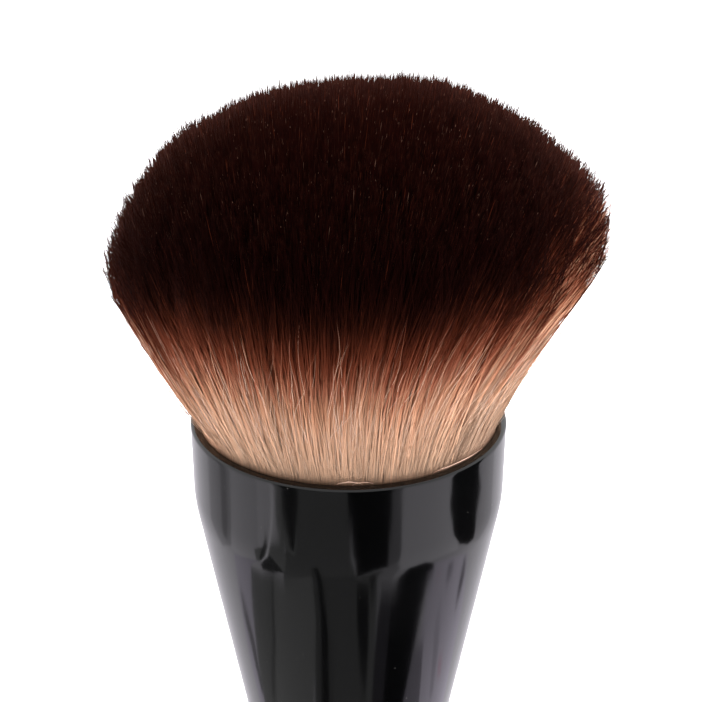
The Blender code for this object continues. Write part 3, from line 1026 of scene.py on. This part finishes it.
far = 4000                       # how far the cards run out, in millimetres
farther = 4500
studio = {
    "floorSize": 12.0,
    "floorColour": (0.86, 0.86, 0.87),
    "floorSurface": {"Roughness": 0.9, "Specular IOR Level": 0.1, "Emission Color": (1, 1, 1, 1)},
    "floorGlow": 0.42,
    "worldSeen": 1.0,
    # dimmer before the brush than behind it, and where it changes from the one to the other
    "world": {"From Min": -0.9, "From Max": 0.2, "To Min": 0.95, "To Max": 1.25},
    "cardStep": 4,
    "lights": [
        # name, place, size, power
        ("topSoftbox", (0.0, 0.36, 0.60), 0.50, 10.5),
        ("rightSoftbox", (0.52, 0.05, 0.28), 0.60, 5.0),
        ("leftSoftbox", (-0.52, 0.08, 0.28), 0.60, 3.0),
        ("lowRightSoftbox", (0.53, -0.17, 0.05), 0.50, 4.2),
        ("lowLeftSoftbox", (-0.53, -0.17, 0.05), 0.50, 1.9),
    ],
    "aim": (0, 0, 0.125),
    "tints": {"plain": (1, 1, 1), "cool": (1, 0.965, 1.035), "violet": (1, 0.93, 1.09),
              "rose": (1, 0.76, 0.92)},
    # level cards that only the gloss lacquer mirrors: name, height, brightness, tint, and the outline as
    # (azimuth, radius) with 0 at the camera's side and positive to its right, in degrees and millimetres
    "cards": [
        ("cardFloor", 0.5, 1.12, "cool", [(-180, farther), (-60, farther), (60, farther), (177, farther)]),
        ("cardLeftLight", 0.6, 1.28, "cool", [(-92, far), (-72, far), (-52, far), (-46, 192), (-45, 181),
            (-47, 151), (-60, 128), (-76, 118), (-93, 117), (-100, 128), (-93, 186)]),
        ("cardLeftBright", 0.7, 1.5, "cool", [(-66, far), (-50, far), (-46, 194), (-46, 177), (-50, 150),
            (-60, 134), (-66, 161)]),
        ("cardLeftDim", 0.7, 0.8, "cool", [(-116, far), (-90, far), (-91, 187), (-98, 135), (-114, 127),
            (-118, 167)]),
        ("cardLeftDark", 0.8, 0.52, "cool", [(-101, far), (-95, far), (-95, 185), (-101, 144),
            (-104.5, 151), (-102, 186)]),
        ("cardLeftViolet", 0.6, 1, "violet", [(-99.7, 119), (-72.8, 117), (-84.8, 105), (-92.8, 96),
            (-99.1, 87), (-104, 75), (-112, 63), (-122, 63), (-112.6, 77), (-113.1, 91), (-107.1, 104)]),
        ("cardLeftBottom", 0.75, 0.5, "plain", [(-71.7, 149), (-56, 179), (-45.1, 183), (-45.6, 139),
            (-51.4, 102), (-62.4, 111), (-68.8, 117), (-74.4, 118)]),
        ("cardLeftLine", 0.8, 0.3, "cool", [(-102.9, 106), (-100.9, 101), (-98.9, 90), (-100.8, 84),
            (-101.8, 77), (-105.5, 78), (-105.9, 85), (-105.3, 91), (-106.6, 100)]),
        ("cardRightLight", 0.6, 1.45, "cool", [(36, far), (47, far), (77, far), (77, 197), (81, 181),
            (90, 133), (71, 127), (62, 120), (50, 117), (40, 111), (36, 159)]),
        ("cardRightViolet", 0.6, 1.2, "violet", [(69.9, 116), (107.4, 118), (119.4, 107), (124.8, 90),
            (131, 80), (140, 63), (80, 20), (71.5, 69), (69, 82), (68.9, 95)]),
        ("cardRightDim", 0.6, 0.88, "cool", [(104, far), (126, far), (126, 159), (118, 136), (103, 136)]),
        ("cardRightBlack", 0.8, 0.025, "plain", [(76.6, far), (76.1, 205), (74.4, 196), (78.1, 185),
            (82, 170), (89.2, 145), (100.8, 135), (106.8, 144), (102.7, 184), (105.5, 194), (108.8, 201),
            (104.3, 207), (104, far)]),
        ("cardFrontGrey", 0.6, 0.32, "plain", [(-39, far), (-19, far), (-1, far), (1, 190), (6, 103),
            (-6, 103), (-22, 101), (-39, 93), (-54, 94), (-47, 138), (-44, 181), (-40.6, 188)]),
        ("cardFrontLine", 0.9, 0.2, "plain", [(-27.5, 197), (-0.5, 197), (-0.5, 195), (-27.5, 195)]),
        ("cardFrontBlack", 0.8, 0.015, "plain", [(-1.5, far), (14, far), (30, far), (29.8, 190),
            (27.7, 184), (28.7, 126), (17.3, 115), (6.5, 100), (4.5, 161), (2.4, 185), (-0.5, 195)]),
        ("cardFrontStrip", 0.7, 0.5, "cool", [(29.5, far), (36.5, far), (36.9, 189), (36.4, 139),
            (28.9, 121), (25.6, 185)]),
        ("cardWedgeSoft", 0.8, 0.5, "plain", [(-51.2, far), (-34.4, far), (-34.6, 196), (-35.5, 188),
            (-38.4, 159), (-42.5, 172), (-48.2, 183), (-51, 188), (-51.5, 197)]),
        ("cardWedge", 0.9, 0.04, "plain", [(-47.5, far), (-34.4, far), (-34.6, 198), (-36.2, 188),
            (-38.7, 173), (-42.9, 185), (-46.4, 195)]),
        ("cardBrightLine", 0.8, 2.4, "cool", [(-53.5, far), (-52, far), (-53.2, 195), (-54.2, 187),
            (-56, 180), (-61.9, 132), (-69.3, 114), (-69.4, 119), (-63.1, 136), (-57.6, 179), (-55.8, 186),
            (-54.7, 195)]),
        ("cardPatch", 0.8, 0.12, "plain", [(-60.8, 181), (-58.4, 181), (-61.9, 149), (-67.8, 122),
            (-70.6, 123), (-65, 152)]),
        ("cardDiamond", 0.9, 0.12, "plain", [(-71.6, 110), (-58.4, 142), (-54.5, 116), (-51.9, 101),
            (-62.7, 99), (-72.4, 103)]),
        ("cardNearLeft", 0.7, 0.35, "plain", [(-84, 106), (-73, 101), (-62, 98), (-72.5, 83), (-90, 64),
            (-100, 20), (-125, 20), (-106, 69), (-104.7, 74), (-99, 86), (-92.7, 96)]),
        ("cardNearLeftLine", 0.8, 0.2, "plain", [(-65, 98), (-63.1, 98), (-71.2, 83), (-85.4, 73),
            (-90, 74), (-74.7, 84)]),
        ("cardNearGrey", 0.7, 0.46, "plain", [(-62, 98), (-53, 95), (-39, 95), (-26.6, 101), (-21.9, 86),
            (-27.7, 78), (-37.8, 65), (-50, 20), (-100, 20), (-90, 64), (-72.5, 83)]),
        ("cardNearDarkSoft", 0.8, 0.2, "plain", [(-27.4, 124), (-22.1, 126), (-18.6, 86), (-13.3, 75),
            (-15.2, 63), (-15, 21), (-50, 21), (-36.7, 64), (-31.2, 75), (-28.2, 83), (-28.9, 89)]),
        ("cardNearDark", 0.9, 0.04, "plain", [(-25.1, 125), (-22.8, 126), (-21.2, 90), (-19, 84),
            (-18.4, 77), (-20.4, 64), (-21, 21), (-29, 21), (-29, 64), (-25.4, 75), (-23.7, 82),
            (-24.8, 89)]),
        ("cardNearMiddle", 0.7, 0.24, "plain", [(-22, 101), (-6.5, 104), (6.6, 104), (9.9, 81), (14.6, 72),
            (18.4, 64), (22, 20), (-50, 20), (-36, 64), (-28, 74), (-23, 81), (-23.5, 88), (-25, 107)]),
        ("cardNearStrip", 0.6, 0.3, "plain", [(6.5, 98), (17.3, 113), (28.7, 120), (29, 89), (27, 76),
            (24.8, 63), (28, 20), (18, 20), (9.9, 80)]),
        ("cardNearStripLeft", 0.9, 0.03, "plain", [(6.8, 90), (15.5, 90), (16.9, 87), (18.4, 77),
            (17.7, 66), (12, 70), (7.3, 81)]),
        ("cardNearStripRight", 0.9, 0.08, "plain", [(16.4, 101), (21.6, 105), (21.5, 89), (20.3, 86),
            (17.6, 88)]),
        ("cardStreak", 0.8, 0.7, "cool", [(28.7, 126), (34.2, 137), (38.5, 119), (35, 92), (28.8, 90),
            (28.5, 85), (26.7, 77), (23.9, 77), (24.1, 85), (22, 100)]),
        ("cardNearPurple", 0.9, 0.1, "violet", [(27.5, 89), (37.2, 91), (38.1, 83), (37.8, 73), (37.7, 65),
            (40, 21), (25, 21), (24.7, 64), (24.5, 75), (25.2, 83)]),
        ("cardNearBlack", 1, 0.01, "plain", [(59.5, 122), (68.1, 114), (72.1, 102), (67.5, 97), (66.3, 92),
            (64.8, 84), (62.6, 74), (59.9, 66), (60, 21), (37, 21), (36.6, 64), (36.8, 73), (36.2, 83),
            (35.9, 90), (39.9, 93), (46.9, 114)]),
        ("cardNearViolet", 0.8, 0.5, "violet", [(62.5, 75), (65.6, 82), (73.6, 84), (82.9, 70), (84, 21),
            (58, 21), (58.8, 66)]),
        ("cardVioletShort", 0.8, 0.3, "violet", [(87.1, 108), (92.7, 110), (92.8, 108), (88.6, 103),
            (86.7, 103)]),
        ("cardVioletLong", 0.8, 0.25, "violet", [(104.3, 116), (107.5, 116), (110.6, 112), (109.9, 106),
            (107.5, 101), (104.8, 107)]),
        ("cardVioletSoft", 0.8, 0.9, "violet", [(83.7, 90), (85.1, 97), (94.3, 88), (101.6, 76),
            (96.4, 75)]),
        ("cardRoseHigh", 0.8, 1.15, "rose", [(73.3, 102), (78.4, 104), (79.1, 101), (75.4, 101)]),
        ("cardRoseLow", 0.8, 1.2, "rose", [(97.4, 86), (103.8, 87), (109, 83), (101.8, 82)]),
        ("cardBackBlack", 0.7, 0.04, "plain", [(167, far), (179, far), (179, 60), (168, 60)]),
        ("cardBackGrey", 0.7, 0.3, "plain", [(-179, far), (-168, far), (-169, 60), (-179, 60)]),
    ],
}


def emissionMaterial(name, colour, strength):
    material, nodes, shader = newMaterial(name)
    nodes.remove(shader)
    glow = addNode(nodes, "Emission", {"Color": (*colour, 1), "Strength": strength})
    join(glow, "Emission", nodes["Material Output"], "Surface")
    return material


def addFloor():
    deselectAll()
    bpy.ops.mesh.primitive_plane_add(size=studio["floorSize"], location=(0, 0, 0))
    floor = activePiece("studioFloor")
    material, _, shader = newMaterial("paleFloor")
    setInputs(shader, studio["floorSurface"])
    setInputs(shader, {"Base Color": (*studio["floorColour"], 1), "Emission Strength": studio["floorGlow"]})
    floor.data.materials.append(material)


def addCard(name, height, brightness, tint, outline):
    # walks the outline in small steps and lays a filled circle's corners along it
    places = []
    for (turn, radius), (nextTurn, nextRadius) in zip(outline, outline[1:] + outline[:1]):
        sweep = abs(nextTurn - turn)
        steps = max(1, int(sweep / studio["cardStep"])) if sweep < 180 else 1
        for i in range(steps):
            angle = math.radians(turn + (nextTurn - turn) * i / steps)
            reach = (radius + (nextRadius - radius) * i / steps) * mm
            places.append((reach * math.sin(angle), -reach * math.cos(angle), 0))
    deselectAll()
    bpy.ops.mesh.primitive_circle_add(vertices=len(places), radius=1, fill_type="NGON",
                                      location=(0, 0, height * mm))
    card = activePiece(name)
    for vertex, place in zip(card.data.vertices, places):
        vertex.co = place
    card.data.materials.append(emissionMaterial(name, studio["tints"][tint], brightness))
    card.visible_camera = False
    card.visible_diffuse = False
    card.visible_transmission = False
    card.visible_volume_scatter = False
    card.visible_shadow = False


def addLight(name, place, size, power):
    light = bpy.data.lights.new(name, "AREA")
    light.shape = "SQUARE"
    light.size = size
    light.energy = power
    lamp = bpy.data.objects.new(name, light)
    lamp.location = place
    lamp.rotation_euler = (Vector(studio["aim"]) - Vector(place)).to_track_quat("-Z", "Y").to_euler()
    lamp.visible_camera = False
    lamp.visible_glossy = False
    bpy.context.scene.collection.objects.link(lamp)


def addWorld():
    world = bpy.data.worlds.new("whiteStudio")
    bpy.context.scene.world = world
    world.use_nodes = True
    nodes = world.node_tree.nodes
    parts = addNode(nodes, "SeparateXYZ")
    join(addNode(nodes, "TexCoord"), "Generated", parts, "Vector")
    gradient = addNode(nodes, "MapRange", studio["world"], interpolation_type="SMOOTHSTEP")
    join(parts, "Y", gradient, "Value")
    seen = addNode(nodes, "Mix", {"B": studio["worldSeen"]}, data_type="FLOAT")
    join(addNode(nodes, "LightPath"), "Is Camera Ray", seen, "Factor")
    join(gradient, "Result", seen, "A")
    join(seen, "Result", nodes["Background"], "Strength")
    nodes["Background"].inputs["Color"].default_value = (1, 1, 1, 1)


addFloor()
for card in studio["cards"]:
    addCard(*card)
for light in studio["lights"]:
    addLight(*light)
addWorld()
print("studio lit")


camera = {
    "lens": 60.0,
    "sensor": 36.0,
    "pitch": 23.0,
    "distance": 109.3,
    "aimOverRim": 6.28,
    "shiftX": 2.5 / 702,         # 2.5 pixels of the picture's width
    "near": 0.005,
    "far": 30,
}


def addCamera():
    data = bpy.data.cameras.new("camera")
    data.lens = camera["lens"]
    data.sensor_width = camera["sensor"]
    data.shift_x = camera["shiftX"]
    data.clip_start = camera["near"]
    data.clip_end = camera["far"]
    eye = bpy.data.objects.new("camera", data)
    pitch = math.radians(camera["pitch"])
    eye.location = (0, -camera["distance"] * mm * math.cos(pitch),
                    rimHeight + camera["aimOverRim"] * mm + camera["distance"] * mm * math.sin(pitch))
    eye.rotation_euler = (math.pi / 2 - pitch, 0, 0)
    bpy.context.scene.collection.objects.link(eye)
    bpy.context.scene.camera = eye


addCamera()
bpy.context.scene.view_settings.view_transform = "Standard"
